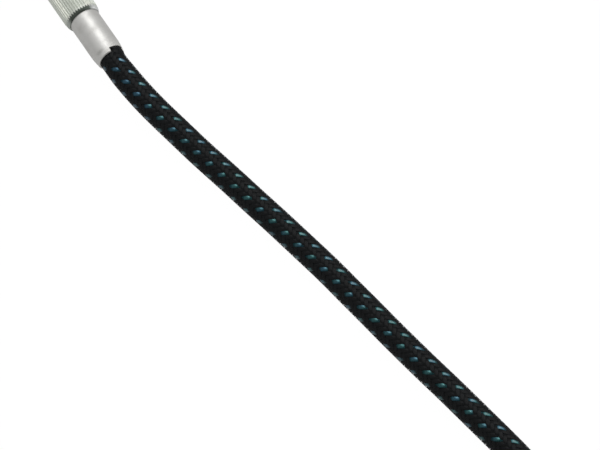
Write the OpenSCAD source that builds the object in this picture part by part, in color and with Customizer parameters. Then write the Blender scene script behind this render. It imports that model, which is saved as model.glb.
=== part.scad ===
// Cable shutter release: a braided cord with a swivelling screw tip at the camera end
// and a spring-loaded plunger head, with a lock screw, at the other. All sizes are in mm.
// The screw tip points along +Y, and its shoulder is at the origin. The release lies on a table
// that is collar_r below the origin, and the head's axis runs along -Y.

/* [Cord] */
// Diameter of the braided cord
cord_d = 4; // [3.6:0.1:4.4]
// Diameter of the wound steel conduit inside the braid
conduit_d = 2.6; // [2.2:0.1:2.8]
// Diameter of the wire that slides in the conduit
wire_d = 0.6; // [0.5:0.1:0.7]
// Length along Y of the cord's stretch from the camera end to the stored loop
lead_l = 106; // [96:2:120]
// Radius of the first half of the stored loop, at the middle of the cord
loop_r = 21; // [20:0.5:24]
// Free space between the cord and itself where it passes beside or over itself
cross_gap = 0.6; // [0.5:0.1:1.5]

/* [Ferrules] */
// Wall of each crimped ferrule
ferrule_wall = 0.28; // [0.22:0.02:0.4]
// Length of each ferrule that shows
ferrule_show = 8; // [6.5:0.25:9]
// How far the cord reaches into each ferrule
cord_grip = 5; // [3.5:0.25:6]
// Length of each ferrule's mouth that is crimped down on the braid
crimp_l = 1.4; // [1:0.1:2.5]
// How far the crimp presses into the braid
crimp_bite = 0.16; // [0.05:0.01:0.25]
// Depth of the step in the rim of the camera end's ferrule
notch_depth = 0.65; // [0.4:0.05:1]
// Angle that the step takes up round the rim
notch_angle = 72; // [30:2:120]

/* [Camera end] */
// Length of the knurled collar
collar_l = 8; // [7.5:0.25:10]
// Wall of the collar under its teeth
collar_wall = 0.2; // [0.15:0.05:0.5]
// Depth of the collar's teeth
tooth_depth = 0.15; // [0.1:0.01:0.2]
// Number of teeth round the collar
collar_teeth = 40; // [24:2:56]
// Thickness of the collar's front wall
collar_front = 1.6; // [1.2:0.1:2]
// Radius of the tapered thread at its shoulder
thread_base_r = 1.95; // [1.85:0.05:2.1]
// Radius of the tapered thread at its end
thread_end_r = 1.5; // [1.3:0.05:1.6]
// Length of the tapered thread
thread_l = 6.5; // [5.5:0.25:8]
// Diameter of the release pin
pin_d = 1.4; // [1.3:0.1:1.5]
// Diameter of the pin's nose, which stands out of the thread at rest
nose_d = 1; // [0.8:0.05:1]
// How far the pin's nose stands out of the thread at rest
pin_out = 1.2; // [0.6:0.1:2]
// Thickness of the swivel stem's flange
flange_t = 1; // [0.6:0.1:1.2]
// Thickness of the ring that keeps the flange in the collar
ring_t = 0.8; // [0.6:0.1:1]

/* [Plunger head] */
// Travel of the plunger and of the pin
stroke = 9; // [6:0.5:9]
// Outer radius of the barrel
barrel_r = 4.4; // [4:0.1:5]
// Inner radius of the barrel
barrel_bore_r = 3.3; // [3:0.1:3.5]
// Length of the barrel base that shows
base_l = 7.5; // [6.5:0.25:9]
// Length of the barrel
barrel_l = 24.5; // [24:0.5:30]
// Length of the spigots that close the barrel at both ends
spigot_l = 4; // [3:0.25:4.5]
// Half height of the finger rest and radius of the thumb button, which lie on the table
rest_r = 6; // [5.5:0.25:7]
// Radius of the finger rest's wings
wing_r = 12.5; // [10:0.5:15]
// Thickness of the finger rest's hub
hub_l = 3.4; // [2.6:0.2:4]
// Wall of the finger rest's hub round the barrel
hub_wall = 1.7; // [1.3:0.1:2.1]
// Wall of the nut round the barrel
nut_wall = 1.2; // [0.9:0.1:1.3]
// How far the wings lean towards the thumb button
wing_lean = 2.6; // [1:0.2:4]
// Thickness of the wings
wing_t = 1.2; // [1:0.1:2]
// Thickness of the nut that holds the finger rest
nut_t = 1.6; // [1.2:0.1:2]
// Radius of the guide bush's cap
cap_r = 4.8; // [4.4:0.1:5.2]
// Length of the guide bush's cap
cap_l = 5; // [4.4:0.2:7]
// Diameter of the plunger rod
rod_d = 3; // [2.4:0.2:3.4]
// Thickness of the thumb button
button_t = 3.4; // [2.6:0.2:5]

/* [Return spring] */
// Diameter of the spring's wire
spring_wire_d = 0.5; // [0.3:0.05:0.5]
// Outer diameter of the spring
spring_d = 5.9; // [5.2:0.1:5.9]
// Number of turns in the spring
spring_turns = 9; // [5:1:9]
// Thickness of the seat that the spring pushes on
seat_t = 1.2; // [0.8:0.1:1.6]

/* [Lock screw] */
// Diameter of the lock screw
screw_d = 1.5; // [1.3:0.1:1.8]
// Radius of the lock screw's knurled head
screw_head_r = 2.2; // [1.8:0.1:2.5]
// Height of the lock screw's head
screw_head_l = 3; // [2:0.2:4]
// Number of teeth round the lock screw's head
screw_teeth = 18; // [12:2:30]
// How far the screw's pad stands off the rod when it is undone
lock_gap = 0.35; // [0.3:0.05:0.6]
// Thickness of the pad under the lock screw
pad_t = 0.7; // [0.6:0.05:1]

/* [Fits] */
// Clearance on a radius between pieces that turn or slide on each other
run_gap = 0.06; // [0.04:0.01:0.08]
// Clearance on a radius between pieces that are pressed or screwed together
seat_gap = 0.03; // [0.02:0.01:0.05]
// Clearance along an axis between pieces that turn against each other
end_gap = 0.1; // [0.05:0.05:0.2]

/* [Hidden] */
$fn = 64;
cord_r = cord_d / 2;
pin_r = pin_d / 2;
wire_r = wire_d / 2;
rod_r = rod_d / 2;

// Radii that follow from the cord, outwards
ferrule_bore_r = cord_r + seat_gap;
ferrule_r = ferrule_bore_r + ferrule_wall;
collar_bore_r = ferrule_r + run_gap;
collar_root_r = collar_bore_r + collar_wall;
collar_r = collar_root_r + tooth_depth;
mouth_bore_r = cord_r - crimp_bite;
mouth_r = mouth_bore_r + ferrule_wall;
conduit_bore_r = pin_r + run_gap;
conduit_r = conduit_d / 2;

// Places along the camera end, from the shoulder of the thread
flange_front = -collar_front - end_gap;
flange_back = flange_front - flange_t;
ring_front = flange_back - end_gap;
ring_back = ring_front - ring_t;
tip_ferrule_top = ring_back - end_gap;
tip_mouth = -collar_l - ferrule_show;
tip_cord_end = tip_mouth + cord_grip;
stem_back = tip_cord_end + 2;
pin_end = thread_l + pin_out;
// The pin's last 3 mm stay in the thread's bore when it is out
pin_back = thread_l - stroke - 3;
tip_conduit_end = pin_back - 0.5;
pin_wire_in = 1.3;
pin_wire_back = tip_cord_end + 0.5;
neck_r = 1.68;
shoulder_l = 0.8;
// The step in the ferrule's rim starts this many degrees from +X towards +Z
notch_start = 18;

// Places along the head, from the mouth of its ferrule
socket_l = 5;
head_conduit_l = 2;
base_start = ferrule_show;
base_end = base_start + base_l;
base_bore_end = base_end + spigot_l;
barrel_end = base_end + barrel_l;
bush_start = barrel_end - spigot_l - 0.7;
cap_end = barrel_end + cap_l;
seat_front = bush_start - end_gap;
seat_back = seat_front - seat_t;
spring_start = base_bore_end;
rod_start = seat_back - 3;
clamp_l = 1.7;
head_conduit_end = ferrule_show + socket_l + head_conduit_l;
head_wire_start = head_conduit_end + 0.4;
button_gap = 0.5;
button_start = cap_end + stroke + button_gap;
button_end = button_start + button_t;
nut_start = barrel_end - nut_t;
rest_start = nut_start - hub_l;
step_r = barrel_r - 0.5;
hub_r = step_r + hub_wall;
nut_r = step_r + nut_wall;
lock_z = barrel_end + cap_l / 2;
boss_r = 1.6;
boss_top = cap_r + 0.5;
pad_bottom = rod_r + lock_gap;
pad_top = pad_bottom + pad_t;
nose_r = 0.35;
nose_l = 0.3;
head_bottom = boss_top + lock_gap + end_gap;

// The table, the height of the cord's centre on it, and the cord's route
table_z = -collar_r;
cord_z = table_z + cord_r;
head_z = table_z + rest_r;
over_z = cord_z + cord_d + cross_gap;
ring_sides = 8;
// Hand-set points of the stretch before the loop: to the right of the mouth, and away from it
lead_xy = [
    [0.1, 3], [0.4, 6.5], [1.1, 11], [2, 15], [2.8, 19], [3.7, 23], [4.6, 27], [5.4, 31], [6.3, 35],
    [7.1, 39], [7.9, 43], [8.7, 47], [9.3, 51], [10, 55], [10.6, 59], [11.3, 63], [12, 67], [12.8, 71],
    [13.5, 75], [14.2, 79], [14.9, 83], [15.5, 87], [16, 91], [16.3, 95], [16.5, 99], [16.6, 103],
    [16.6, 106]
];
lead_end = lead_xy[len(lead_xy) - 1];
lead_share = lead_l / lead_end.y;
loop_start = [lead_end.x, tip_mouth - lead_l];
// The cord leaves the mouth level and sinks to the table within these distances from it
sink_start = 4;
sink_l = 18;
inner_loop_r = loop_r - (cord_d + cross_gap) / 2;
loop_steps = 12;
tail_y = [-4, -8, -12, -16, -20, -23.5];
tail_l = 28;
rise_l = 5;
head_x = loop_start.x - cord_d - cross_gap;
head_y = loop_start.y - tail_l;

// Eases from 0 to 1
function ease(t) = let (c = max(0, min(1, t))) c * c * (3 - 2 * c);

// Height of the cord's centre: down from the camera end, and up over itself to the head
function lead_z(along) = cord_z * ease((along - sink_start) / sink_l);
function rise_z(s) = cord_z + (over_z - cord_z) * ease(s / (PI * inner_loop_r + rise_l));
function tail_z(y) = let (along = -y)
    along < tail_l / 2 ? rise_z(PI * inner_loop_r + along)
                       : over_z + (head_z - over_z) * ease((along - tail_l * 0.7) / (tail_l * 0.2));

// The two halves of the loop, clockwise seen from above, the second tighter than the first
function half_loop(r, a0, steps) = [
    for (i = [1:steps]) let (a = a0 - 180 * i / steps) [loop_start.x, loop_start.y]
        + (a0 == 0 ? [-r, 0] : [r - 2 * loop_r, 0]) + r * [cos(a), sin(a)]
];
lead_points = [
    for (p = concat([[0, -cord_grip], [0, 0]], lead_share * lead_xy))
        [p.x / lead_share, tip_mouth - p.y, lead_z(p.y)]
];
loop_points = concat(
    [for (p = half_loop(loop_r, 0, loop_steps)) [p.x, p.y, cord_z]],
    let (q = half_loop(inner_loop_r, 180, loop_steps))
        [for (i = [0:loop_steps - 1]) [q[i].x, q[i].y, rise_z(PI * inner_loop_r * (i + 1) / loop_steps)]]
);
tail_points = concat(
    [for (y = tail_y) [head_x, loop_start.y + y, tail_z(y)]],
    [[head_x, head_y, head_z], [head_x, head_y - cord_grip, head_z]]
);
route = concat(lead_points, loop_points, tail_points);
lead_last = len(lead_points) - 1;
loop_last = lead_last + len(loop_points);
route_last = len(route) - 1;

// Least gap of the cord to itself, measured between stretches over four cord widths apart
function at(s) = let (i = min(floor(s), route_last - 1)) route[i] + (s - i) * (route[i + 1] - route[i]);
route_fine = [for (i = [0:route_last * 4]) at(i / 4)];
least_gap = min([
    for (i = [0:len(route_fine) - 1], j = [i + 24:len(route_fine) - 1]) norm(route_fine[i] - route_fine[j])
]) - cord_d;
echo(str("Least gap of the cord to itself: ", least_gap, " mm"));

// A round tube of so many sides that follows a list of points; ends are square to the line
function unit(v) = v / norm(v);
function tangent(path, i) = unit(path[min(i + 1, len(path) - 1)] - path[max(i - 1, 0)]);
function ring(centre, along, r, sides) =
    let (side = unit(cross(along, [0, 0, 1])), up = cross(side, along))
    [for (k = [0:sides - 1]) let (a = 360 * k / sides - 90) centre + r * (cos(a) * side + sin(a) * up)];
module tube(path, r, sides, first = 0, last = -1) {
    end = last < 0 ? len(path) - 1 : last;
    count = end - first + 1;
    points = [for (i = [first:end]) each ring(path[i], tangent(path, i), r, sides)];
    walls = [
        for (i = [0:count - 2], k = [0:sides - 1])
            let (a = i * sides + k, b = i * sides + (k + 1) % sides)
            each [[a, b, b + sides], [a, b + sides, a + sides]]
    ];
    start_cap = [for (k = [1:sides - 2]) [0, k + 1, k]];
    end_cap = [for (k = [1:sides - 2]) (count - 1) * sides * [1, 1, 1] + [0, k, k + 1]];
    polyhedron(points = points, faces = concat(walls, start_cap, end_cap));
}

// Points of an arc, for the profiles that are turned round an axis
function arc(centre, r, a0, a1, steps = 6) =
    [for (i = [0:steps]) let (a = a0 + (a1 - a0) * i / steps) centre + r * [cos(a), sin(a)]];

// Places a piece that is drawn along +Z on the camera end or on the head
module on_tip() { rotate([-90, 0, 0]) children(); }
module on_head() { translate([head_x, head_y, head_z]) rotate([90, 0, 0]) children(); }

// Lathe work: a closed profile of [radius, height] points turned round +Z
module turned(points) { rotate_extrude() polygon(points); }

// A rod or a hole along +Z between two heights
module rod(r, z0, z1) { translate([0, 0, z0]) cylinder(r = r, h = z1 - z0); }

// A straight knurl: a prism whose rim is a ring of blunt teeth
module knurl(crest_r, depth, teeth, z0, z1) {
    step = 360 / teeth;
    shares = [-0.38, -0.1, 0.1, 0.38];
    rim = [
        for (i = [0:teeth - 1], k = [0:3])
            let (a = (i + shares[k]) * step, r = crest_r - (k == 0 || k == 3 ? depth : 0))
            r * [cos(a), sin(a)]
    ];
    translate([0, 0, z0]) linear_extrude(z1 - z0) polygon(rim);
}

// A ferrule along +Z with its crimped mouth at z = 0
module ferrule(length) {
    turned(concat(
        [[mouth_bore_r, 0], [mouth_r - 0.12, 0]],
        [[mouth_r, 0.12], [mouth_r + 0.05, 0.5], [ferrule_r - 0.03, crimp_l], [ferrule_r, crimp_l + 0.5]],
        [[ferrule_r, length], [ferrule_bore_r, length]],
        [[ferrule_bore_r, crimp_l], [mouth_bore_r, crimp_l * 0.4]]
    ));
}

// Camera end ---------------------------------------------------------------------------------

module knurled_collar() color([0.66, 0.68, 0.64]) on_tip() {
    chamfer = 0.35;
    shoulder_r = collar_root_r + 0.08;
    lip = collar_bore_r + 0.05;
    drop = shoulder_r - lip;
    shoulder_arc_r = (shoulder_l * shoulder_l + drop * drop) / (2 * drop);
    lip_angle = asin(shoulder_l / shoulder_arc_r);
    difference() {
        union() {
            intersection() {
                knurl(collar_r, tooth_depth, collar_teeth, -collar_l + shoulder_l, 0);
                turned([
                    [0, 0], [collar_r - chamfer, 0], [collar_r, -chamfer],
                    [collar_r, -collar_l + shoulder_l + chamfer],
                    [shoulder_r, -collar_l + shoulder_l], [0, -collar_l + shoulder_l]
                ]);
            }
            turned(concat(
                [[0, -collar_l + shoulder_l]],
                arc([shoulder_r - shoulder_arc_r, -collar_l + shoulder_l], shoulder_arc_r, 0, -lip_angle),
                [[0, -collar_l]]
            ));
        }
        rod(collar_bore_r, -collar_l - 1, -collar_front);
        rod(thread_base_r, -collar_front - 1, 1);
    }
}

module thread_cone() color([0.72, 0.72, 0.69]) on_tip() difference() {
    lead_in = 0.25;
    turned([
        [0, -collar_front], [thread_base_r - seat_gap, -collar_front], [thread_base_r - seat_gap, 0],
        [thread_base_r - seat_gap, 0.4], [thread_end_r, thread_l - lead_in],
        [thread_end_r - lead_in, thread_l], [0, thread_l]
    ]);
    rod(pin_r + run_gap, -collar_front - 1, thread_l + 1);
}

module collar_ring() color([0.78, 0.64, 0.36]) on_tip() difference() {
    rod(collar_bore_r - seat_gap, ring_back, ring_front);
    rod(neck_r + run_gap, ring_back - 1, ring_front + 1);
}

module swivel_stem() color([0.78, 0.64, 0.36]) on_tip() difference() {
    turned([
        [0, flange_front], [collar_bore_r - run_gap, flange_front], [collar_bore_r - run_gap, flange_back],
        [neck_r, flange_back], [neck_r, tip_ferrule_top],
        [ferrule_bore_r - seat_gap, tip_ferrule_top], [ferrule_bore_r - seat_gap, stem_back], [0, stem_back]
    ]);
    rod(conduit_bore_r, stem_back - 1, flange_front + 1);
    rod(conduit_r + seat_gap, stem_back - 1, tip_conduit_end);
}

module tip_ferrule() color([0.86, 0.86, 0.84]) difference() {
    on_tip() translate([0, 0, tip_mouth]) ferrule(tip_ferrule_top - tip_mouth);
    on_tip() translate([0, 0, tip_mouth - 1]) linear_extrude(1 + notch_depth)
        polygon(concat([[0, 0]], arc([0, 0], 2 * ferrule_r, -notch_start - notch_angle, -notch_start)));
}

module conduit_tip() color([0.55, 0.55, 0.56]) on_tip() difference() {
    rod(conduit_r, tip_cord_end, tip_conduit_end);
    rod(conduit_bore_r, tip_cord_end - 1, tip_conduit_end + 1);
}

module release_pin() color([0.8, 0.8, 0.78]) on_tip() difference() {
    turned([
        [0, pin_back], [pin_r, pin_back], [pin_r, thread_l],
        [nose_d / 2, thread_l], [nose_d / 2, pin_end], [0, pin_end]
    ]);
    rod(wire_r + seat_gap, pin_back - 1, pin_back + pin_wire_in);
}

module pin_wire() color([0.6, 0.6, 0.6]) on_tip() rod(wire_r, pin_wire_back, pin_back + pin_wire_in);

// Cord ---------------------------------------------------------------------------------------

module cord_lead() color([0.08, 0.09, 0.1]) tube(route, cord_r, ring_sides, 0, lead_last);

module cord_coil() color([0.08, 0.09, 0.1]) tube(route, cord_r, ring_sides, lead_last, loop_last);

module cord_tail() color([0.08, 0.09, 0.1]) tube(route, cord_r, ring_sides, loop_last, route_last);

// Plunger head -------------------------------------------------------------------------------

module head_ferrule() color([0.86, 0.86, 0.84]) on_head() ferrule(ferrule_show + socket_l);

module conduit_head() color([0.55, 0.55, 0.56]) on_head() difference() {
    rod(conduit_r, cord_grip, head_conduit_end);
    rod(conduit_bore_r, cord_grip - 1, head_conduit_end + 1);
}

module barrel_base() color([0.68, 0.69, 0.66]) on_head() {
    neck = ferrule_r + 0.5;
    flare_start = base_start + 1.2;
    flare_r = 1.4;
    flare_angle = 55;
    band_l = 2.4;
    groove = 0.35;
    difference() {
        union() {
            turned(concat(
                [[0, base_start], [neck - 0.2, base_start], [neck, base_start + 0.2]],
                arc([neck + flare_r, flare_start], flare_r, 180, 180 - flare_angle),
                [[barrel_r - groove, base_end - band_l - 0.6], [barrel_r - groove, base_end]],
                [[barrel_bore_r - seat_gap, base_end], [barrel_bore_r - seat_gap, base_bore_end]],
                [[0, base_bore_end]]
            ));
            intersection() {
                knurl(barrel_r, 0.2, 48, base_end - band_l, base_end);
                turned([
                    [0, base_end - band_l], [barrel_r - 0.25, base_end - band_l],
                    [barrel_r, base_end - band_l + 0.25], [barrel_r, base_end - 0.25],
                    [barrel_r - 0.25, base_end], [0, base_end]
                ]);
            }
        }
        rod(ferrule_r + seat_gap, base_start - 1, base_start + socket_l);
        rod(conduit_r + seat_gap, base_start, head_conduit_end);
        rod(conduit_bore_r, base_start, base_bore_end + 1);
    }
}

module barrel() color([0.68, 0.69, 0.66]) on_head() {
    edge = 0.25;
    groove = 0.3;
    groove_z = base_end + 3;
    difference() {
        turned(concat(
            [[barrel_bore_r, base_end], [barrel_r - edge, base_end], [barrel_r, base_end + edge]],
            [
                for (i = [0:1], p = [[0, 0], [-groove, groove], [-groove, 2 * groove], [0, 3 * groove]])
                    [barrel_r + p.x, groove_z + i * 1.8 + p.y]
            ],
            [[barrel_r, rest_start - edge], [barrel_r - edge, rest_start], [step_r, rest_start]],
            [[step_r, barrel_end], [barrel_bore_r, barrel_end]]
        ));
    }
}

module finger_rest() color([0.68, 0.69, 0.66]) on_head() {
    bead_r = 0.9;
    web_r = hub_r + 0.6;
    rim_z = rest_start + wing_lean;
    difference() {
        intersection() {
            union() {
                turned([
                    [0, rest_start], [hub_r - 0.4, rest_start], [hub_r, rest_start + 0.4],
                    [hub_r, nut_start - 0.4], [hub_r - 0.4, nut_start], [0, nut_start]
                ]);
                turned([
                    [0, rest_start + 0.5], [web_r, rest_start + 0.5], [wing_r - bead_r, rim_z],
                    [wing_r - bead_r, rim_z + wing_t], [web_r, rest_start + 0.5 + wing_t],
                    [0, rest_start + 0.5 + wing_t]
                ]);
                rotate_extrude() translate([wing_r - bead_r, rim_z + wing_t / 2]) circle(r = bead_r, $fn = 24);
            }
            translate([-wing_r - 1, -rest_r, rest_start - 2]) cube([2 * wing_r + 2, 2 * rest_r, hub_l + wing_lean + 6]);
        }
        rod(step_r + seat_gap, rest_start - 3, barrel_end);
    }
}

module rest_nut() color([0.68, 0.69, 0.66]) on_head() difference() {
    intersection() {
        knurl(nut_r, 0.15, 36, nut_start, barrel_end);
        turned([
            [0, nut_start], [nut_r, nut_start], [nut_r, barrel_end - 0.3],
            [nut_r - 0.3, barrel_end], [0, barrel_end]
        ]);
    }
    rod(step_r + seat_gap, nut_start - 1, barrel_end + 1);
}

module guide_bush() color([0.68, 0.69, 0.66]) on_head() difference() {
    edge = 0.4;
    union() {
        turned([
            [0, bush_start], [barrel_bore_r - seat_gap, bush_start], [barrel_bore_r - seat_gap, barrel_end],
            [cap_r - edge, barrel_end], [cap_r, barrel_end + edge], [cap_r, cap_end - 1],
            [cap_r - 0.4, cap_end - 0.3], [cap_r - 1.2, cap_end], [0, cap_end]
        ]);
        translate([0, 0, lock_z]) rotate([-90, 0, 0]) rod(boss_r, 0, boss_top);
    }
    rod(rod_r + run_gap, bush_start - 1, cap_end + 1);
    translate([0, 0, lock_z]) rotate([-90, 0, 0]) rod(screw_d / 2 + run_gap, 0, boss_top + 1);
}

module return_spring() color([0.6, 0.62, 0.64]) on_head() {
    wind_r = (spring_d - spring_wire_d) / 2;
    steps = 8;
    bottom = spring_start + spring_wire_d / 2 + 0.02;
    top = seat_back - spring_wire_d / 2 - 0.02;
    path = [
        for (i = [0:spring_turns * steps]) let (a = 360 * i / steps)
            [wind_r * cos(a), wind_r * sin(a), bottom + (top - bottom) * i / (spring_turns * steps)]
    ];
    tube(path, spring_wire_d / 2, 6);
}

module spring_seat() color([0.78, 0.64, 0.36]) on_head() difference() {
    rod(barrel_bore_r - 0.2, seat_back, seat_front);
    rod(rod_r + seat_gap, seat_back - 1, seat_front + 1);
}

module wire_clamp() color([0.78, 0.64, 0.36]) on_head() difference() {
    rod(rod_r - 0.1, rod_start - clamp_l, rod_start);
    rod(wire_r + seat_gap, rod_start - clamp_l - 1, rod_start + 1);
}

module plunger_wire() color([0.6, 0.6, 0.6]) on_head() rod(wire_r, head_wire_start, rod_start);

module plunger_rod() color([0.8, 0.8, 0.78]) on_head() rod(rod_r, rod_start, button_start + button_t / 2);

module thumb_button() color([0.68, 0.69, 0.66]) on_head() difference() {
    edge = 0.5;
    dish = 0.6;
    boss = 0.7;
    union() {
        turned([[0, button_start], [rod_r + 1, button_start], [rod_r + 1.5, button_start + boss], [0, button_start + boss]]);
        intersection() {
            knurl(rest_r, 0.18, 54, button_start + boss, button_end);
            turned(concat(
                [[0, button_start + boss], [rest_r - edge, button_start + boss], [rest_r, button_start + boss + edge]],
                [[rest_r, button_end - edge], [rest_r - edge, button_end - 0.1], [rest_r - edge - 0.5, button_end]],
                [[rest_r - edge - 0.9, button_end - 0.1], [rest_r - 2.6, button_end - dish * 0.8], [0, button_end - dish]]
            ));
        }
    }
    rod(rod_r + seat_gap, button_start - 1, button_start + button_t / 2);
}

// Lock screw ---------------------------------------------------------------------------------

module on_lock() { on_head() translate([0, 0, lock_z]) rotate([-90, 0, 0]) children(); }

module lock_pad() color([0.78, 0.64, 0.36]) on_lock() difference() {
    rod(screw_d / 2, pad_bottom, pad_top);
    rod(nose_r + run_gap, pad_top - nose_l - end_gap, pad_top + 1);
}

module lock_screw() color([0.72, 0.72, 0.69]) on_lock() {
    head_top = head_bottom + screw_head_l;
    union() {
        rod(nose_r, pad_top - nose_l, pad_top + 0.5);
        rod(screw_d / 2, pad_top + end_gap / 2, head_bottom + 0.2);
        intersection() {
            knurl(screw_head_r, 0.18, screw_teeth, head_bottom, head_top);
            turned([
                [0, head_bottom], [screw_head_r - 0.3, head_bottom], [screw_head_r, head_bottom + 0.3],
                [screw_head_r, head_top - 0.4], [screw_head_r - 0.4, head_top], [0, head_top]
            ]);
        }
    }
}

knurled_collar();
thread_cone();
collar_ring();
swivel_stem();
tip_ferrule();
conduit_tip();
release_pin();
pin_wire();
cord_lead();
cord_coil();
cord_tail();
head_ferrule();
conduit_head();
barrel_base();
barrel();
finger_rest();
rest_nut();
guide_bush();
return_spring();
spring_seat();
wire_clamp();
plunger_wire();
plunger_rod();
thumb_button();
lock_pad();
lock_screw();
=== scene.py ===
"""Dresses the cable shutter release: its braided cord, plated ends, screw thread and spring.

Lengths are named in millimetres and turned into metres by MM. The frame is the CAD model's: the
screw tip points along +Y with its shoulder at the origin, and the release lies on a table below.
"""

import math

import bpy
import numpy as np
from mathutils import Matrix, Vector


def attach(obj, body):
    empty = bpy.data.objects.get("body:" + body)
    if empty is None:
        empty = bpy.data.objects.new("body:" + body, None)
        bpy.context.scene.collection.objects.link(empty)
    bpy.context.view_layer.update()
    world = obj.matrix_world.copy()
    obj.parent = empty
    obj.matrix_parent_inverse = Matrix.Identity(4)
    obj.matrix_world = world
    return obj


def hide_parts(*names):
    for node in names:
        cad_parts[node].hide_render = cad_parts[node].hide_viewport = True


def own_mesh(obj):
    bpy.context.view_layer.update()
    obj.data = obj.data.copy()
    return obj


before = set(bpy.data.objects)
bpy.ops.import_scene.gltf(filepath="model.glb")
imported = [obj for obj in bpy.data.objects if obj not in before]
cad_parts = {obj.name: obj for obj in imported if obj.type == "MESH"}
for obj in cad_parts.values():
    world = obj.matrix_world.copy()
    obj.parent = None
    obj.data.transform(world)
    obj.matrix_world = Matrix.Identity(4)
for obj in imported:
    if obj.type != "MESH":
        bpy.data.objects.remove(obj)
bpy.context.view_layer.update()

MM = 0.001

# Sizes that the CAD model has too -----------------------------------------------------------

CORD_R = 2.0
CROSS_GAP = 0.6
LOOP_R = 21.0
CORD_GRIP = 5.0
TIP_MOUTH_Y = -16.0
TABLE_Z = -2.72
CORD_Z = TABLE_Z + CORD_R
OVER_Z = CORD_Z + 2 * CORD_R + CROSS_GAP
# The first stretch of cord: X, and the distance behind the tip's mouth
LEAD_XY = [
    (0.1, 3), (0.4, 6.5), (1.1, 11), (2, 15), (2.8, 19), (3.7, 23), (4.6, 27), (5.4, 31), (6.3, 35),
    (7.1, 39), (7.9, 43), (8.7, 47), (9.3, 51), (10, 55), (10.6, 59), (11.3, 63), (12, 67), (12.8, 71),
    (13.5, 75), (14.2, 79), (14.9, 83), (15.5, 87), (16, 91), (16.3, 95), (16.5, 99), (16.6, 103),
    (16.6, 106),
]
# It leaves the mouth level, and sinks to the table from this far behind it, over this length
SINK_START, SINK_L = 4.0, 18.0
LOOP_X, LOOP_Y = LEAD_XY[-1][0], TIP_MOUTH_Y - LEAD_XY[-1][1]
LOOP_STEPS = 12
# The last stretch of cord, straight from the loop to the head: its points along Y, and its length
TAIL_Y = [-4, -8, -12, -16, -20, -23.5]
TAIL_L = 28.0
# The share of the tail at which it starts to sink to the head, and the share that this takes
TAIL_SINK = (0.7, 0.2)
RISE_L = 5.0
HEAD_X = LOOP_X - 2 * CORD_R - CROSS_GAP
HEAD_Y = LOOP_Y - TAIL_L
HEAD_Z = TABLE_Z + 6.0
THREAD_BASE_R, THREAD_END_R, THREAD_L = 1.92, 1.5, 6.5
PIN_BORE_R = 0.76
COLLAR_FRONT = 1.6
COLLAR_TEETH = 40
# Each knurl's radius at its crests, and the depth of its grooves
COLLAR_KNURL = (2.72, 0.15)
BASE_KNURL = (4.4, 0.2)
NUT_KNURL = (5.1, 0.15)
BUTTON_KNURL = (6.0, 0.18)

# Objects ------------------------------------------------------------------------------------


def add_object(name, data):
    """A new object in the scene."""
    obj = bpy.data.objects.new(name, data)
    bpy.context.scene.collection.objects.link(obj)
    return obj


def facing(at, look):
    """How a camera or a lamp at one point is turned to look at another."""
    return (Vector(look) - Vector(at)).to_track_quat("-Z", "Y").to_euler()


def mesh_object(name, points_mm, faces, materials, slots=None, smooth=True, uv=()):
    """A mesh object in the row frame. slots gives each face's material, uv pairs of layer and places."""
    mesh = bpy.data.meshes.new(name)
    points = np.asarray(points_mm, dtype=np.float32) * MM
    faces = np.asarray(faces, dtype=np.int32)
    mesh.vertices.add(len(points))
    mesh.vertices.foreach_set("co", points.ravel())
    mesh.loops.add(faces.size)
    mesh.loops.foreach_set("vertex_index", faces.ravel())
    mesh.polygons.add(len(faces))
    starts = np.arange(0, faces.size, faces.shape[1], dtype=np.int32)
    mesh.polygons.foreach_set("loop_start", starts)
    for material in materials:
        mesh.materials.append(material)
    if slots is not None:
        mesh.polygons.foreach_set("material_index", np.asarray(slots, dtype=np.int32))
    for layer_name, places in uv:
        layer = mesh.uv_layers.new(name=layer_name)
        corners = np.asarray(places, dtype=np.float32)[faces.ravel()]
        layer.uv.foreach_set("vector", corners.ravel())
    mesh.update(calc_edges=True)
    mesh.validate()
    mesh.polygons.foreach_set("use_smooth", np.full(len(mesh.polygons), smooth))
    return add_object(name, mesh)


def grid_faces(rows, columns, closed=False, start=0):
    """Quads of a grid of points, rows by columns, closed round the columns if asked."""
    last = columns if closed else columns - 1
    i, k = np.meshgrid(np.arange(rows - 1), np.arange(last), indexing="ij")
    nxt = (k + 1) % columns
    quads = [i * columns + k, i * columns + nxt, (i + 1) * columns + nxt, (i + 1) * columns + k]
    return np.stack(quads, axis=-1).reshape(-1, 4) + start


# The cord's line ----------------------------------------------------------------------------


def ease(t):
    """From 0 to 1 without a corner."""
    t = np.clip(t, 0, 1)
    return t * t * (3 - 2 * t)


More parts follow.
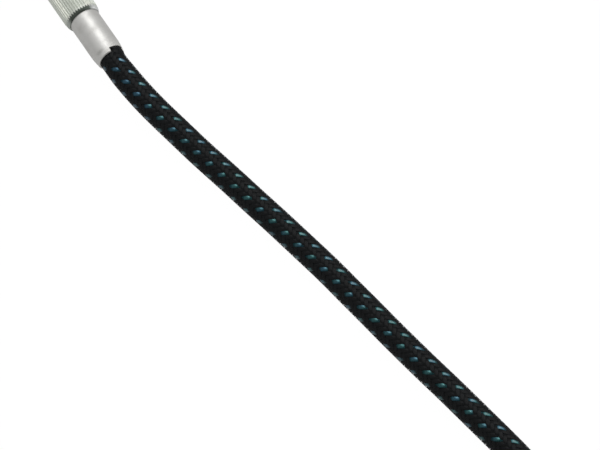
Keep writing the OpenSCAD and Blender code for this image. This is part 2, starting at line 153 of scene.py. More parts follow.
def route():
    """The cord's points, as the CAD model has them, from inside one ferrule to inside the other."""
    inner_r = LOOP_R - (2 * CORD_R + CROSS_GAP) / 2
    half = math.pi * inner_r

    def rise(s):
        return CORD_Z + (OVER_Z - CORD_Z) * ease(s / (half + RISE_L))

    # From the tip, sinking to the table
    points = [
        (x, TIP_MOUTH_Y - along, CORD_Z * ease((along - SINK_START) / SINK_L))
        for x, along in [(0, -CORD_GRIP), (0, 0)] + LEAD_XY
    ]
    # Half a turn flat on the table, and a tighter half that rises over the first stretch
    for i in range(1, LOOP_STEPS + 1):
        a = -math.pi * i / LOOP_STEPS
        x = LOOP_X - LOOP_R + LOOP_R * math.cos(a)
        points.append((x, LOOP_Y + LOOP_R * math.sin(a), CORD_Z))
    for i in range(1, LOOP_STEPS + 1):
        a = math.pi - math.pi * i / LOOP_STEPS
        x = LOOP_X + inner_r - 2 * LOOP_R + inner_r * math.cos(a)
        points.append((x, LOOP_Y + inner_r * math.sin(a), rise(half * i / LOOP_STEPS)))
    # On to the head, sinking to its axis
    for y in TAIL_Y:
        sink = (HEAD_Z - OVER_Z) * ease((-y - TAIL_L * TAIL_SINK[0]) / (TAIL_L * TAIL_SINK[1]))
        z = rise(half - y) if -y < TAIL_L / 2 else OVER_Z + sink
        points.append((HEAD_X, LOOP_Y + y, z))
    points += [(HEAD_X, HEAD_Y, HEAD_Z), (HEAD_X, HEAD_Y - CORD_GRIP, HEAD_Z)]
    return np.array(points)


class Line:
    """A smooth line through points, with two directions across it that don't twist."""

    STEP = 0.2
    CURVE_STEPS = 24
    SMOOTHING = 2.0

    def __init__(self, points):
        dense = self.curve(points)
        pieces = np.linalg.norm(np.diff(dense, axis=0), axis=1)
        along = np.concatenate([[0], np.cumsum(pieces)])
        self.length = along[-1]
        self.s = np.linspace(0, self.length, int(self.length / self.STEP) + 1)
        self.at = np.stack([np.interp(self.s, along, dense[:, k]) for k in range(3)], axis=1)
        self.smooth()
        tangent = np.gradient(self.at, axis=0)
        self.tangent = tangent / np.linalg.norm(tangent, axis=1, keepdims=True)
        self.side = self.carried(np.array([1.0, 0, 0]))
        self.up = np.cross(self.tangent, self.side)

    def curve(self, p):
        """A Catmull-Rom curve through the points."""
        p = np.vstack([2 * p[0] - p[1], p, 2 * p[-1] - p[-2]])
        t = np.linspace(0, 1, self.CURVE_STEPS, endpoint=False)[:, None]
        parts = []
        for a, b, c, d in zip(p, p[1:], p[2:], p[3:]):
            square, cube = 2 * a - 5 * b + 4 * c - d, 3 * b - a - 3 * c + d
            parts.append(0.5 * (2 * b + (c - a) * t + square * t**2 + cube * t**3))
        return np.vstack(parts + [p[-2:-1]])

    def smooth(self):
        """Takes out the small corners that listed points leave."""
        reach = int(3 * self.SMOOTHING / self.STEP)
        off = np.arange(-reach, reach + 1) * self.STEP
        weights = np.exp(-0.5 * (off / self.SMOOTHING) ** 2)
        weights /= weights.sum()
        for k in range(3):
            v = self.at[:, k]
            head = 2 * v[0] - v[reach:0:-1]
            tail = 2 * v[-1] - v[-2 : -reach - 2 : -1]
            self.at[:, k] = np.convolve(np.concatenate([head, v, tail]), weights, "valid")

    def carried(self, side):
        """The side direction at every point, carried along the line."""
        out = []
        for t in self.tangent:
            side = side - t * side.dot(t)
            side = side / np.linalg.norm(side)
            out.append(side)
        return np.array(out)

    def on(self, s, angle, radius):
        """Points at a distance along the line, an angle round it and a radius from it."""

        def along(values):
            return np.stack([np.interp(s, self.s, values[:, k]) for k in range(3)], axis=-1)

        c, a = np.cos(angle)[..., None], np.sin(angle)[..., None]
        return along(self.at) + radius[..., None] * (c * along(self.side) + a * along(self.up))


# Nodes --------------------------------------------------------------------------------------


class Nodes:
    """Short names for the nodes of a tree."""

    def __init__(self, tree):
        self.tree = tree

    def feed(self, socket, value):
        """Links a socket to another one, or sets its value."""
        if isinstance(value, bpy.types.NodeSocket):
            self.tree.links.new(value, socket)
        else:
            socket.default_value = value

    def node(self, kind, **inputs):
        """A shader node with some inputs fed. An underscore stands for the space in a name."""
        node = self.tree.nodes.new("ShaderNode" + kind)
        for key, value in inputs.items():
            self.feed(node.inputs[key.replace("_", " ")], value)
        return node

    def split(self, vector):
        """The X, Y and Z of a vector."""
        return self.node("SeparateXYZ", Vector=vector).outputs

    def math(self, how, a, b=0.0):
        """A sum, product or other function of one or two numbers."""
        node = self.node("Math")
        node.operation = how
        self.feed(node.inputs[0], a)
        self.feed(node.inputs[1], b)
        return node.outputs[0]

    def vector_math(self, how, a, b):
        """A number from two vectors, such as their distance."""
        node = self.node("VectorMath")
        node.operation = how
        self.feed(node.inputs[0], a)
        self.feed(node.inputs[1], b)
        return node.outputs["Value"]

    def span(self, value, low, high, to_low=0.0, to_high=1.0, how="SMOOTHSTEP"):
        """Carries one span of a value over to another, and holds it beyond the ends."""
        node = self.node("MapRange", Value=value)
        node.interpolation_type = how
        ends = {"From Min": low, "From Max": high, "To Min": to_low, "To Max": to_high}
        for key, number in ends.items():
            node.inputs[key].default_value = number
        return node.outputs["Result"]

    def mix(self, share, a, b):
        """A colour between two others."""
        node = self.node("Mix")
        node.data_type = "RGBA"
        self.feed(node.inputs["Factor"], share)
        for key, color in (("A", a), ("B", b)):
            self.feed(node.inputs[key], (*color, 1) if isinstance(color, tuple) else color)
        return node.outputs["Result"]


class Paint(Nodes):
    """A material with one Principled shader."""

    def __init__(self, name, **values):
        self.material = bpy.data.materials.new(name)
        self.material.use_nodes = True
        super().__init__(self.material.node_tree)
        self.shader = self.tree.nodes["Principled BSDF"]
        self.set(**values)

    def set(self, **values):
        """Feeds the shader's sockets."""
        for key, value in values.items():
            self.feed(self.shader.inputs[key.replace("_", " ")], value)

    def place(self):
        """Where a point of the object is, in metres."""
        return self.node("TexCoord").outputs["Object"]

    def uv(self, layer):
        """A point's place in a UV layer."""
        node = self.node("UVMap")
        node.uv_map = layer
        return node.outputs["UV"]

    def scaled(self, vector, scale):
        """A vector times another, axis by axis."""
        return self.node("Mapping", Vector=vector, Scale=scale).outputs["Vector"]

    def noise(self, vector, scale, detail):
        """Soft noise from 0 to 1."""
        node = self.node("TexNoise", Vector=vector, Scale=scale, Detail=detail, Roughness=0.55)
        return node.outputs["Fac"]

    def bump(self, height, depth_mm, strength):
        """Fine relief."""
        node = self.node("Bump", Height=height, Strength=strength, Distance=depth_mm * MM)
        self.set(Normal=node.outputs["Normal"])

    def radius(self, x_mm, z_mm):
        """How far a point is from a line along Y, in metres."""
        at = self.split(self.place())
        x = self.math("SUBTRACT", at["X"], x_mm * MM)
        z = self.math("SUBTRACT", at["Z"], z_mm * MM)
        squares = self.math("ADD", self.math("POWER", x, 2.0), self.math("POWER", z, 2.0))
        return self.math("SQRT", squares)


# Metals -------------------------------------------------------------------------------------

NICKEL, TARNISH, NICKEL_STAIN = (0.87, 0.9, 0.83), (0.7, 0.73, 0.67), (0.34, 0.34, 0.29)
FERRULE, FERRULE_STAIN = (0.83, 0.825, 0.80), (0.6, 0.59, 0.56)
BRASS, BRASS_STAIN = (0.72, 0.53, 0.24), (0.42, 0.28, 0.11)
SCREW, SCREW_STAIN = (0.62, 0.62, 0.57), (0.3, 0.3, 0.26)
WIRE_STEEL, PIN_STEEL = (0.46, 0.47, 0.49), (0.66, 0.66, 0.66)
# How fine the noise is that makes the rings of turned metal, the lines of drawn metal, and the
# stains and specks. A higher number is finer
RING_MM = 0.05
RING_SCALE, LINE_SCALE = (200, 1 / (RING_MM * MM), 200), (9000, 500, 9000)
STAIN_SCALE, SPECK_SCALE = 420.0, 5200.0
KNURL_STAIN_SCALE, KNURL_SPECK_SCALE = 500.0, 6000.0
# How deep the fine grain is
GRAIN_DEPTH, KNURL_GRAIN_DEPTH = 0.004, 0.006

# One dull mark on the ferrule by the cord
SMUDGE, SMUDGE_AT, SMUDGE_R = (0.5, 0.5, 0.47), (-1.45, -15.1, 1.82), 1.05

# The collar's painted light is placed by how far it lies aside, along this direction in X and Z
ASIDE = (0.957, 0.29)
# A painted highlight, a bright stripe on each side of the knurl: its middle, and how far off it fades
PAINTED_GLINT, PAINTED_GLINT_AT, PAINTED_GLINT_FADE = (0.97, 0.98, 0.9), 1.75, (0.2, 0.5)
# The rolled shoulder has a painted dark reflection above and below: its middle, and where it fades
DARK_REFLECTION, DARK_REFLECTION_AT, DARK_REFLECTION_FADE = (0.095, 0.11, 0.094), 0.02, (1.5, 2.3)
# Beside the painted dark reflection, the shoulder has painted light: darker on one side and lighter on
# the other, between these places
SIDES, SIDES_FADE = [(0.54, 0.57, 0.53), (0.93, 0.95, 0.94)], (-1.0, 1.5)
# Where the shoulder's colour fades along Y, how a groove's depth moves that, and how a tooth does
SHOULDER_FADE = (-7.62, -7.42)
GROOVE_REACH, TOOTH_REACH = 1.0, 0.17
# How much smoother plain and rolled metal is than the knurl
PLAIN_SMOOTHER = 0.25


def turned_metal(name, light, dark, rough, grime=0.5, smudged=False):
    """Turned metal: fine rings round the axis, soft stains and small scratches."""
    paint = Paint(name, Metallic=1.0)
    rings = paint.noise(paint.scaled(paint.place(), RING_SCALE), 1.0, 2.0)
    stains = paint.noise(paint.place(), STAIN_SCALE, 4.0)
    specks = paint.noise(paint.place(), SPECK_SCALE, 2.0)
    dirt = paint.math("MULTIPLY", paint.span(stains, 0.45, 0.75), grime)
    color = paint.mix(dirt, light, dark)
    if smudged:
        # The mark is longer round the metal than along it
        middle = (SMUDGE_AT[0] * MM, 2 * SMUDGE_AT[1] * MM, SMUDGE_AT[2] * MM)
        away = paint.vector_math("DISTANCE", paint.scaled(paint.place(), (1, 2, 1)), middle)
        mark = paint.span(away, 0.1 * SMUDGE_R * MM, SMUDGE_R * MM, 0.75, 0.0)
        mark = paint.math("MULTIPLY", mark, paint.span(specks, 0.3, 0.6, 0.6, 1.0))
        color = paint.mix(mark, color, SMUDGE)
    stained = paint.span(stains, 0.3, 0.8, rough, rough + 0.12)
    ringed = paint.span(rings, 0.3, 0.7, -0.03, 0.03)
    paint.set(Base_Color=color, Roughness=paint.math("ADD", stained, ringed))
    paint.bump(paint.math("ADD", rings, paint.math("MULTIPLY", specks, 0.6)), GRAIN_DEPTH, 0.5)
    return paint.material


def drawn_metal(name, color):
    """Drawn or ground steel, with lines along Y."""
    paint = Paint(name, Metallic=1.0)
    lines = paint.noise(paint.scaled(paint.place(), LINE_SCALE), 1.0, 2.0)
    shade = tuple(c * 0.7 for c in color)
    paint.set(
        Base_Color=paint.mix(paint.span(lines, 0.35, 0.75, 0, 0.6), color, shade),
        Roughness=paint.span(lines, 0.3, 0.7, 0.26, 0.4),
    )
    paint.bump(lines, GRAIN_DEPTH, 0.4)
    return paint.material


def collar_tarnish_and_painted_light(paint, share, below):
    """The collar's colour, with its painted highlight stripes and painted reflections on the shoulder,
    and where its rolled shoulder is. share is how dull the knurl is at a point, and below is how far the
    point is under the crests."""
    at = paint.split(paint.place())
    aside = paint.math(
        "ADD", paint.math("MULTIPLY", at["X"], ASIDE[0]), paint.math("MULTIPLY", at["Z"], ASIDE[1])
    )
    # Painted highlight: a bright stripe on each side of the knurl
    off = paint.math("SUBTRACT", paint.math("ABSOLUTE", aside), PAINTED_GLINT_AT * MM)
    stripe = paint.span(paint.math("ABSOLUTE", off), PAINTED_GLINT_FADE[0] * MM, PAINTED_GLINT_FADE[1] * MM, 1.0, 0.0)
    knurl = paint.mix(share, paint.mix(stripe, NICKEL, PAINTED_GLINT), paint.mix(stripe, TARNISH, NICKEL))
    # The shoulder's edge follows the teeth
    turn = paint.math("MULTIPLY", paint.math("ARCTAN2", at["Z"], at["X"]), COLLAR_TEETH)
    tooth = paint.math("MULTIPLY", paint.math("COSINE", turn), TOOTH_REACH * MM)
    groove = paint.math("MULTIPLY", below, -GROOVE_REACH)
    edge = paint.math("ADD", paint.math("ADD", at["Y"], groove), tooth)
    rolled = paint.span(edge, SHOULDER_FADE[0] * MM, SHOULDER_FADE[1] * MM, 1.0, 0.0)
    # Painted reflection: the middle of the shoulder is painted dark, above and below
    from_dark_reflection = paint.math("ABSOLUTE", paint.math("ADD", aside, -DARK_REFLECTION_AT * MM))
    beside_reflection = paint.span(from_dark_reflection, DARK_REFLECTION_FADE[0] * MM, DARK_REFLECTION_FADE[1] * MM)
    # Painted light: one side of the shoulder darker, the other lighter
    sides = paint.mix(paint.span(aside, SIDES_FADE[0] * MM, SIDES_FADE[1] * MM), *SIDES)
    return paint.mix(rolled, knurl, paint.mix(beside_reflection, DARK_REFLECTION, sides)), rolled


def knurled_metal(name, knurl, x_mm=0.0, z_mm=0.0, collar=False):
    """Plated knurling round a line along Y: worn bright along its crests, dull in its grooves, and
    plain further in. knurl is its radius at the crests and the depth of its grooves."""
    paint = Paint(name, Metallic=1.0)
    crest_mm, depth_mm = knurl
    root_mm = crest_mm - depth_mm
    radius = paint.radius(x_mm, z_mm)
    plain = paint.span(radius, (root_mm - 0.3) * MM, (root_mm - 0.1) * MM, 1.0, 0.0)
    worn = paint.math("MAXIMUM", plain, paint.span(radius, root_mm * MM, (crest_mm - 0.02) * MM))
    stains = paint.noise(paint.place(), KNURL_STAIN_SCALE, 4.0)
    specks = paint.noise(paint.place(), KNURL_SPECK_SCALE, 3.0)
    bright_share = paint.math("MULTIPLY", worn, paint.span(stains, 0.25, 0.6, 0.75, 1.0))
    share = paint.math("SUBTRACT", 1.0, bright_share)
    if collar:
        below = paint.math("SUBTRACT", crest_mm * MM, radius)
        # The collar's colour carries painted highlights and painted reflections
        color, rolled = collar_tarnish_and_painted_light(paint, share, below)
        polished_share = paint.math("MAXIMUM", rolled, plain)
    else:
        color, polished_share = paint.mix(share, NICKEL, TARNISH), plain
    rough = paint.math(
        "ADD", paint.span(worn, 0.0, 1.0, 0.66, 0.58), paint.span(specks, 0.3, 0.7, -0.05, 0.05)
    )
    rough = paint.math("SUBTRACT", rough, paint.math("MULTIPLY", polished_share, PLAIN_SMOOTHER))
    paint.set(Base_Color=color, Roughness=rough)
    paint.bump(paint.math("ADD", specks, stains), KNURL_GRAIN_DEPTH, 0.5)
    return paint.material


nickel = turned_metal("nickel", NICKEL, NICKEL_STAIN, 0.24)
bright = turned_metal("ferrule_metal", FERRULE, FERRULE_STAIN, 0.455, grime=0.42, smudged=True)
brass = turned_metal("bare_brass", BRASS, BRASS_STAIN, 0.26)
steel = drawn_metal("wire_steel", WIRE_STEEL)
polished = drawn_metal("pin_steel", PIN_STEEL)

# Yarns --------------------------------------------------------------------------------------

YARNS_ACROSS = 4
# How fine the noise is that makes the fibres, and the patches of bluer dye
FIBRE_SCALE, DYE_SCALE = (2.2, 26.0, 1), 420.0
YARN_RELIEF = 0.03
# Where a strand's crown is across it, and the fixed direction of the painted sheen: crowns that face it
# are painted brightest
CROWN_AT = 0.42
LIT_SIDE = (0.02, 0.0, 1.0)
# Two lots of dye, teal and steel blue: the yarn's own colour, its shine, and its shine at the painted
# crown highlight
DYED = [(0.004, 0.085, 0.094), (0.016, 0.055, 0.19)]
DYED_SHINE, BRIGHTEST = [(0.38, 0.92, 0.92), (0.37, 0.78, 1.0)], (0.72, 1.0, 1.0)
# The blue side by the camera end: its slant, and where it fades
BLUE_SLANT, BLUE_FADE = 8.0, (-28.5, -25.5)


def yarn(name, deep, lit, rough, gloss, shine=((1, 1, 1),), bend=1.5, painted_sheen_share=0.15):
    """A flat strand of the braid: four yarns side by side, with fibres along them. A dyed strand has a
    list of two colours each for lit and shine. crowned is the share of the colour that is painted light,
    brighter at crowns and darker at rims."""
    paint = Paint(name, Specular_Tint=(*shine[0], 1), IOR=bend)
    strand = paint.uv("strand")
    width = paint.split(strand)["Y"]
    out = paint.split(paint.uv("weave"))["X"]
    ridges = paint.math("SINE", paint.math("MULTIPLY", width, YARNS_ACROSS * 2 * math.pi))
    fibres = paint.noise(paint.scaled(strand, FIBRE_SCALE), 1.0, 3.0)
    # Painted light: a loop of yarn is painted brighter along its crown, most where it faces a fixed
    # direction, and painted darker at its rim and where it dives under. The same mask sets its gloss and
    # whitens its shine
    from_crown = paint.math("ABSOLUTE", paint.math("SUBTRACT", width, CROWN_AT))
    painted_sheen = paint.math(
        "MULTIPLY", paint.span(out, 0.0, 0.85), paint.span(from_crown, 0.2, 0.68, 1.0, 0.0)
    )
    normal = paint.node("NewGeometry").outputs["Normal"]
    toward_light = paint.vector_math("DOT_PRODUCT", normal, LIT_SIDE)
    painted_sheen = paint.math("MULTIPLY", painted_sheen, paint.span(toward_light, 0.87, 1.0, 0.3, 1.3))
    # Painted shade: the colour is darker in the grooves between the yarns
    share = paint.math("MULTIPLY", fibres, paint.span(ridges, -1.0, 1.0, 0.35, 1.0))
    crown_light = paint.span(painted_sheen, 0.0, 1.0, 1.0 - painted_sheen_share, 1.0 + 0.7 * painted_sheen_share)
    share = paint.math("MULTIPLY", share, crown_light)
    if isinstance(lit, list):
        # Teal, bluer in places, and steel blue on one side by the camera end
        at = paint.split(paint.place())
        slanted = paint.math("SUBTRACT", at["Y"], paint.math("MULTIPLY", at["X"], BLUE_SLANT))
        tip_end = paint.span(slanted, BLUE_FADE[0] * MM, BLUE_FADE[1] * MM)
        patches = paint.span(paint.noise(paint.place(), DYE_SCALE, 2.0), 0.42, 0.62, 0.0, 0.8)
        blue = paint.math("MAXIMUM", tip_end, patches)
        lit, shine = paint.mix(blue, *lit), paint.mix(blue, *shine)
        # Painted highlight: the shine turns whiter at the brightest painted crowns
        paint.set(Specular_Tint=paint.mix(paint.span(painted_sheen, 0.8, 1.25), shine, BRIGHTEST))
    paint.set(
        Base_Color=paint.mix(share, deep, lit),
        Roughness=paint.span(fibres, 0.3, 0.7, rough - 0.08, rough + 0.08),
        Specular_IOR_Level=paint.span(painted_sheen, 0.0, 1.2, (1.0 - painted_sheen_share) * gloss * 0.5, gloss),
    )
    relief = paint.math("ADD", paint.math("MULTIPLY", ridges, 0.5), fibres)
    paint.bump(paint.math("ADD", relief, paint.math("MULTIPLY", out, 2.5)), YARN_RELIEF, 0.7)
    return paint.material


black_yarn = yarn("black_yarn", (0.0028, 0.0032, 0.0035), (0.0222, 0.0248, 0.027), 0.6, 0.23)
fleck_yarn = yarn("fleck_yarn", (0.003, 0.02, 0.024), DYED, 0.16, 1.0, DYED_SHINE, bend=2.8, painted_sheen_share=0.9)
core_black = yarn("core_yarn", (0.002, 0.002, 0.002), (0.005, 0.005, 0.005), 0.7, 0.05)

# Cord ---------------------------------------------------------------------------------------

RIGHT_STRANDS, LEFT_STRANDS = 15, 16
COLOURED_EVERY = 3
# Rows of flecks: how many make a turn, where one lies, and how the rows spread up to the last
FLECK_ROWS = 5
FIRST_ROW_S, FIRST_TURN = 7.0, 0.3984
ROW_PITCH, PITCH_GAIN, LAST_ROW = 2.55, 0.00453, 31
# Columns in which the crossings stand round the cord, and the angle of one
COLUMNS, COLUMN_ANGLE = 7, math.radians(20)
# The distance along the cord from which dyed strands show their dye
FIRST_FLECK = 5.8
# A strand's width, how far it goes over and under, how soon it is all the way, and its crown
STRAND_W, STRAND_LIFT, LIFT_GAIN, STRAND_CROWN = 0.60, 0.055, 1.3, 0.05
# Its flat section with low edges: places across it, and the share of the crown that each is low by
STRAND_ACROSS, STRAND_DROP = np.array([-0.5, -0.22, 0.22, 0.5]), np.array([1.0, 0.12, 0.12, 1.0])
STRAND_STEP, STRAND_END = 0.21, 1.0
# How fast the pattern of fibres runs along a strand, and how far the next strand's is shifted
RUN_SCALE, RUN_SHIFT = 1.4, 37.0
CORE_R, CORE_END, CORE_SIDES = 1.86, 0.5, 24
# The braid in the ferrules: how thin it is, and how far past their mouths it takes to swell out
CRIMPED, SWELL_L = 0.945, 4.0
# The step in the tip ferrule's rim, where the braid bulges: its angles, and how soft its sides are
NOTCH_MID, NOTCH_HALF = math.radians(54), math.radians(36)
NOTCH_INSET, NOTCH_SOFT = 0.25, 0.3
# How much the braid bulges there, from where and over how long it rises, and how it dies away
BULGE, BULGE_FROM, BULGE_RISE, BULGE_FALL = 0.11, 3.9, 0.5, 1.6


def cord_swell(line, s, angle):
    """How thick the braid is at a place: drawn in at both crimps, and pushed out into the notch."""
    ends = np.minimum(s, line.length - s) - CORD_GRIP
    thick = CRIMPED + (1 - CRIMPED) * ease(ends / SWELL_L)
    away = np.abs((angle - NOTCH_MID + math.pi) % (2 * math.pi) - math.pi)
    in_notch = 1 - ease((away - NOTCH_HALF + NOTCH_INSET) / NOTCH_SOFT)
    past_mouth = 1 - ease((s - CORD_GRIP) / BULGE_FALL)
    return thick + BULGE * (in_notch * ease((s - BULGE_FROM) / BULGE_RISE) * past_mouth)


def turned(s):
    """How far round the cord a strand has gone at s."""
    gone = s - FIRST_ROW_S
    row = (np.sqrt(ROW_PITCH**2 + 4 * PITCH_GAIN * gone) - ROW_PITCH) / (2 * PITCH_GAIN)
    end_pitch = ROW_PITCH + 2 * PITCH_GAIN * LAST_ROW
    end_s = ROW_PITCH * LAST_ROW + PITCH_GAIN * LAST_ROW**2
    row = np.where(row > LAST_ROW, LAST_ROW + (gone - end_s) / end_pitch, row)
    return 2 * math.pi * (FIRST_TURN + row / FLECK_ROWS)


def strand(line, turn, index, count):
    """One flat strand, as a grid four points across: the points, how far along the cord each row
    is, each point's place on the strand, and how far over or under it is woven there."""
    s = np.arange(STRAND_END, line.length - STRAND_END, STRAND_STEP)
    slant = np.arctan(CORD_R * np.gradient(turned(s), s))
    across = STRAND_ACROSS * STRAND_W
    angle = turn * turned(s) + 2 * math.pi * index / count
    weave = -turn * np.cos(COLUMNS * (angle - COLUMN_ANGLE))
    lift = STRAND_LIFT * np.clip(weave * LIFT_GAIN, -1, 1)
    s_all = s[:, None] - turn * across * np.sin(slant)[:, None]
    angle_all = angle[:, None] + across * np.cos(slant)[:, None] / CORD_R
    radius = CORD_R - STRAND_LIFT + lift[:, None] - STRAND_DROP * STRAND_CROWN
    radius = radius * cord_swell(line, s_all, angle_all)
    points = line.on(s_all, angle_all, radius)
    run = np.repeat(RUN_SCALE * s[:, None] + RUN_SHIFT * index, 4, axis=1)
    width = np.repeat((across / STRAND_W + 0.5)[None, :], len(s), axis=0)
    places = np.stack([run, width], axis=-1).reshape(-1, 2)
    out = np.repeat(weave[:, None], 4, axis=1)
    return points.reshape(-1, 3), s, places, np.stack([out, out], axis=-1).reshape(-1, 2)


def core_tube(line, start):
    """The dark core under the strands: its points, faces, and two layers of places. start is the
    number of points before it in the mesh."""
    s = np.linspace(CORE_END, line.length - CORE_END, int(line.length))
    angle = np.linspace(0, 2 * math.pi, CORE_SIDES + 1)[:-1]
    s_all, angle_all = np.meshgrid(s, angle, indexing="ij")
    radius = CORE_R * cord_swell(line, s_all, angle_all)
    points = line.on(s_all, angle_all, radius).reshape(-1, 3)
    quads = grid_faces(len(s), CORE_SIDES, closed=True, start=start)
    places = np.stack([s_all, angle_all], axis=-1).reshape(-1, 2)
    return points, quads, places, np.zeros((s_all.size, 2))


def strands(line, name, turn, count, coloured=0, core=False):
    """All strands that turn one way, with the dark core under them if asked. With coloured, one
    strand in that many is dyed."""
    points, faces, slots, uv, weaves, start = [], [], [], [], [], 0
    for i in range(count):
        p, s, places, weave = strand(line, turn, i, count)
        quads = grid_faces(len(s), 4, start=start)
        if turn < 0:
            quads = quads[:, ::-1]
        points.append(p)
        faces.append(quads)
        uv.append(places)
        weaves.append(weave)
        dyed = bool(coloured) and i % coloured == 0
        slots.append(np.repeat(np.where(dyed & (s[:-1] > FIRST_FLECK), 1, 0), 3))
        start += len(p)
    if core:
        p, quads, places, weave = core_tube(line, start)
        points.append(p)
        faces.append(quads)
        uv.append(places)
        weaves.append(weave)
        slots.append(np.full(len(quads), 2))
    materials = [black_yarn, fleck_yarn, core_black]
    layers = (("strand", np.vstack(uv)), ("weave", np.vstack(weaves)))
    points, faces, slots = np.vstack(points), np.vstack(faces), np.concatenate(slots)
    return mesh_object(name, points, faces, materials, slots, uv=layers)


def make_cord():
    """The braided cord: two sets of strands over a core, from one ferrule into the other."""
    line = Line(route())
    braid = strands(line, "cord_braid", 1, LEFT_STRANDS, core=True)
    over = strands(line, "cord_braid_flecked", -1, RIGHT_STRANDS, coloured=COLOURED_EVERY)
    for piece in (braid, over):
        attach(piece, "head")
    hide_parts("cord_lead", "cord_coil", "cord_tail")


# Screw --------------------------------------------------------------------------------------

PITCH = 0.5
THREAD_DEPTH = 0.2
# How steep the thread's flanks are, and how wide its flat crest is
THREAD_FLANK, THREAD_CREST = 1.25, 0.12
THREAD_START, SHANK_END = 0.3, 0.25
# Where the groove begins to deepen, and over how long
RUN_IN, RUN_IN_L = 0.35, 0.4
THREAD_SIDES, THREAD_ROWS = 72, 150
TIP_ROUND, TIP_L = 0.25, 0.5
BORE_EDGE = 0.08


def make_thread():
    """The tapered camera screw, with its right-hand thread, bore and plain shank."""
    y = np.linspace(THREAD_START, THREAD_L, THREAD_ROWS)
    angle = np.linspace(0, 2 * math.pi, THREAD_SIDES + 1)[:-1]
    y_all, a_all = np.meshgrid(y, angle, indexing="ij")
    cone = THREAD_BASE_R + (THREAD_END_R - THREAD_BASE_R) * y_all / THREAD_L
    wave = np.abs(((y_all / PITCH + a_all / (2 * math.pi)) % 1) * 2 - 1)
    cut = np.clip(THREAD_FLANK * wave - THREAD_CREST, 0, 1) * ease((y_all - RUN_IN) / RUN_IN_L)
    tip = TIP_ROUND * ease((y_all - (THREAD_L - TIP_L)) / TIP_L)
    outer = cone - THREAD_DEPTH * cut - tip

    def ring(r, at_y):
        return np.stack([r * np.cos(angle), np.full(THREAD_SIDES, at_y), r * np.sin(angle)], axis=-1)

    body = np.stack([outer * np.cos(a_all), y_all, outer * np.sin(a_all)], axis=-1)
    loops = [ring(PIN_BORE_R, -COLLAR_FRONT), ring(THREAD_BASE_R, -COLLAR_FRONT)]
    loops += [ring(THREAD_BASE_R, SHANK_END), *body]
    loops += [ring(PIN_BORE_R + BORE_EDGE, THREAD_L), ring(PIN_BORE_R, THREAD_L - BORE_EDGE)]
    loops += [ring(PIN_BORE_R, -COLLAR_FRONT)]
    faces = grid_faces(len(loops), THREAD_SIDES, closed=True)
    metal = turned_metal("screw_nickel", SCREW, SCREW_STAIN, 0.25)
    piece = mesh_object("camera_screw", np.vstack(loops), faces, [metal])
    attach(piece, "collar")
    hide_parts("thread_cone")


# Spring -------------------------------------------------------------------------------------

SPRING_R, SPRING_WIRE_R = 2.7, 0.25
SPRING_FRONT, SPRING_BACK = -169.52, -183.98
SPRING_TURNS, CLOSED_TURN = 9, 0.62
SPRING_STEPS, WIRE_SIDES = 36, 8


def make_spring():
    """The return spring, with closer turns at its ends. The plunger's stroke presses the real spring
    together; this one is fixed to the head and keeps its length.
    """
    turn = np.linspace(0, SPRING_TURNS, SPRING_TURNS * SPRING_STEPS + 1)
    # Distance along the axis: a close turn, the open turns, a close turn
    start, end = SPRING_FRONT - SPRING_WIRE_R, SPRING_BACK + SPRING_WIRE_R
    span = start - end
    turns, drops = [0, 1, SPRING_TURNS - 1, SPRING_TURNS], [0, CLOSED_TURN, span - CLOSED_TURN, span]
    y = start - np.interp(turn, turns, drops)
    angle = 2 * math.pi * turn
    out = np.stack([np.cos(angle), np.zeros_like(angle), np.sin(angle)], axis=-1)
    centre = np.array([HEAD_X, 0, HEAD_Z]) + SPRING_R * out + np.stack([0 * y, y, 0 * y], axis=-1)
    section = 2 * math.pi * np.arange(WIRE_SIDES) / WIRE_SIDES
    outward = np.cos(section)[None, :, None] * out[:, None]
    points = centre[:, None] + SPRING_WIRE_R * (
        outward + np.sin(section)[None, :, None] * np.array([0, 1.0, 0])
    )
    cap = np.array([(0, 1, 2, 3), (3, 4, 7, 0), (4, 5, 6, 7)])
    sides = grid_faces(len(turn), WIRE_SIDES, closed=True)
    faces = np.vstack([sides, cap[:, ::-1], cap + WIRE_SIDES * (len(turn) - 1)])
    piece = mesh_object("wound_spring", points.reshape(-1, 3), faces, [steel])
    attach(piece, "head")
    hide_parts("return_spring")
    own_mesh(piece)


# CAD pieces ---------------------------------------------------------------------------------


def dress(node, material, bevel_mm=0.03):
    """Gives a CAD piece its material, and a small bevel on its sharp edges."""
    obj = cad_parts[node]
    obj.data.materials.clear()
    obj.data.materials.append(material)
    if bevel_mm:
        bevel = obj.modifiers.new("edges", "BEVEL")
        bevel.width = bevel_mm * MM
        bevel.segments = 2
        bevel.limit_method = "ANGLE"
        bevel.angle_limit = math.radians(28)
        bevel.harden_normals = False


def dress_all():
    """Dresses every CAD piece that shows as it is."""
    dress("knurled_collar", knurled_metal("collar_knurl", COLLAR_KNURL, collar=True), bevel_mm=0.025)
    dress("tip_ferrule", bright, bevel_mm=0.1)
    dress("head_ferrule", bright, bevel_mm=0.04)
    for node in ("collar_ring", "swivel_stem", "spring_seat", "wire_clamp", "lock_pad"):
        dress(node, brass)
    for node in ("conduit_tip", "conduit_head", "pin_wire", "plunger_wire"):
        dress(node, steel, bevel_mm=0)
    for node in ("release_pin", "plunger_rod"):
        dress(node, polished, bevel_mm=0.05)
    for node in ("barrel", "guide_bush", "finger_rest"):
        dress(node, nickel, bevel_mm=0.05)
    dress("barrel_base", knurled_metal("base_knurl", BASE_KNURL, HEAD_X, HEAD_Z))
    dress("rest_nut", knurled_metal("nut_knurl", NUT_KNURL, HEAD_X, HEAD_Z))
    dress("thumb_button", knurled_metal("button_knurl", BUTTON_KNURL, HEAD_X, HEAD_Z), bevel_mm=0.04)
    dress("lock_screw", nickel)


# Surroundings -------------------------------------------------------------------------------

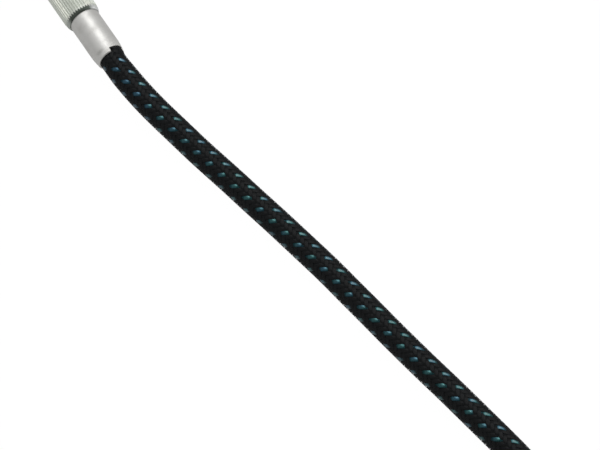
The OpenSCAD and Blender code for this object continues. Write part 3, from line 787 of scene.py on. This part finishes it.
CAMERA_AT = (-148.63, -316.33, 489.12)
LOOK_AT = (9.67, -52.87, -2.75)
LENS_MM, SENSOR_MM = 245.07, 36
NEAREST_M, FURTHEST_M = 0.01, 20
TABLE_HALF = 1500
# How bright the table is to its surroundings and to the camera, which sees this share of it glow
TABLE_GLOW, TABLE_WHITE, GLOW_SHARE = 0.5, 1.02, 0.97
# How bright the room is at the horizon and above this height, and the share left by the viewer
ROOM_LOW, ROOM_HIGH, ROOM_TOP, VIEWER_SHARE = 0.49, 0.78, 0.9, 0.25
# The viewer's dark shape fades towards the far side along Y, and to the left and the right
VIEWER_DEPTH, VIEWER_WIDTH = (-0.45, -0.15), (0.2, 0.55)


def add_camera():
    """The camera that shows the release as the photograph does."""
    data = bpy.data.cameras.new("camera")
    data.lens = LENS_MM
    data.sensor_width = SENSOR_MM
    data.clip_start, data.clip_end = NEAREST_M, FURTHEST_M
    camera = add_object("camera", data)
    camera.location = Vector(CAMERA_AT) * MM
    camera.rotation_euler = facing(CAMERA_AT, LOOK_AT)
    bpy.context.scene.camera = camera


def add_lamp(name, at, size, watts, look=(0, -0.08, 0)):
    """A soft box that faces a point. Its place and size are in metres."""
    data = bpy.data.lights.new(name, "AREA")
    data.shape = "RECTANGLE"
    data.size, data.size_y = size
    data.energy = watts
    lamp = add_object(name, data)
    lamp.location = at
    lamp.rotation_euler = facing(at, look)


def make_floor():
    """A pale table that shows white to the camera and keeps a faint shadow."""
    paint = Paint("table", Roughness=0.9, Base_Color=(0.9, 0.9, 0.9, 1), Specular_IOR_Level=0.0)
    light = paint.node("LightPath")
    seen, mirrored = light.outputs["Is Camera Ray"], light.outputs["Is Glossy Ray"]
    strength = paint.span(seen, 0, 1, TABLE_GLOW, TABLE_WHITE)
    glow = paint.node("Emission", Color=(1, 1, 1, 1), Strength=strength)
    blend = paint.node("MixShader")
    share = paint.math("MAXIMUM", mirrored, paint.math("MULTIPLY", seen, GLOW_SHARE))
    paint.feed(blend.inputs[0], share)
    paint.feed(blend.inputs[1], paint.shader.outputs["BSDF"])
    paint.feed(blend.inputs[2], glow.outputs["Emission"])
    paint.feed(paint.tree.nodes["Material Output"].inputs["Surface"], blend.outputs["Shader"])
    corners = [(x * TABLE_HALF, y * TABLE_HALF, TABLE_Z) for x, y in ((-1, -1), (1, -1), (1, 1), (-1, 1))]
    mesh_object("table", corners, [(0, 1, 2, 3)], [paint.material], smooth=False)


def make_world():
    """A plain pale room: white to the camera, and softly graded in the metal's reflections."""
    world = bpy.data.worlds.new("room")
    world.use_nodes = True
    nodes = Nodes(world.node_tree)
    nodes.tree.nodes.clear()
    direction = nodes.split(nodes.node("TexCoord").outputs["Generated"])
    height = nodes.span(direction["Z"], 0.0, ROOM_TOP, ROOM_LOW, ROOM_HIGH, "LINEAR")
    # The viewer stands dark on the near side, and the room is pale to the left and the right
    beyond = nodes.span(direction["Y"], *VIEWER_DEPTH)
    aside = nodes.span(nodes.math("ABSOLUTE", direction["X"]), *VIEWER_WIDTH)
    clear = nodes.span(nodes.math("MAXIMUM", beyond, aside), 0.0, 1.0, VIEWER_SHARE, 1.0, "LINEAR")
    shade = nodes.math("MULTIPLY", height, clear)
    seen = nodes.node("LightPath").outputs["Is Camera Ray"]
    strength = nodes.node("Mix", Factor=seen, A=shade, B=1.0).outputs["Result"]
    background = nodes.node("Background", Strength=strength).outputs["Background"]
    nodes.node("OutputWorld", Surface=background)
    bpy.context.scene.world = world


add_camera()
make_cord()
make_thread()
make_spring()
dress_all()
make_floor()
make_world()
add_lamp("key", at=(0.13, 0.33, 0.75), size=(0.44, 0.6), watts=1.26, look=(0, -0.02, 0))
add_lamp("fill", at=(0.6, -0.2, 0.35), size=(0.3, 0.8), watts=0.8)
bpy.context.scene.view_settings.view_transform = "Standard"
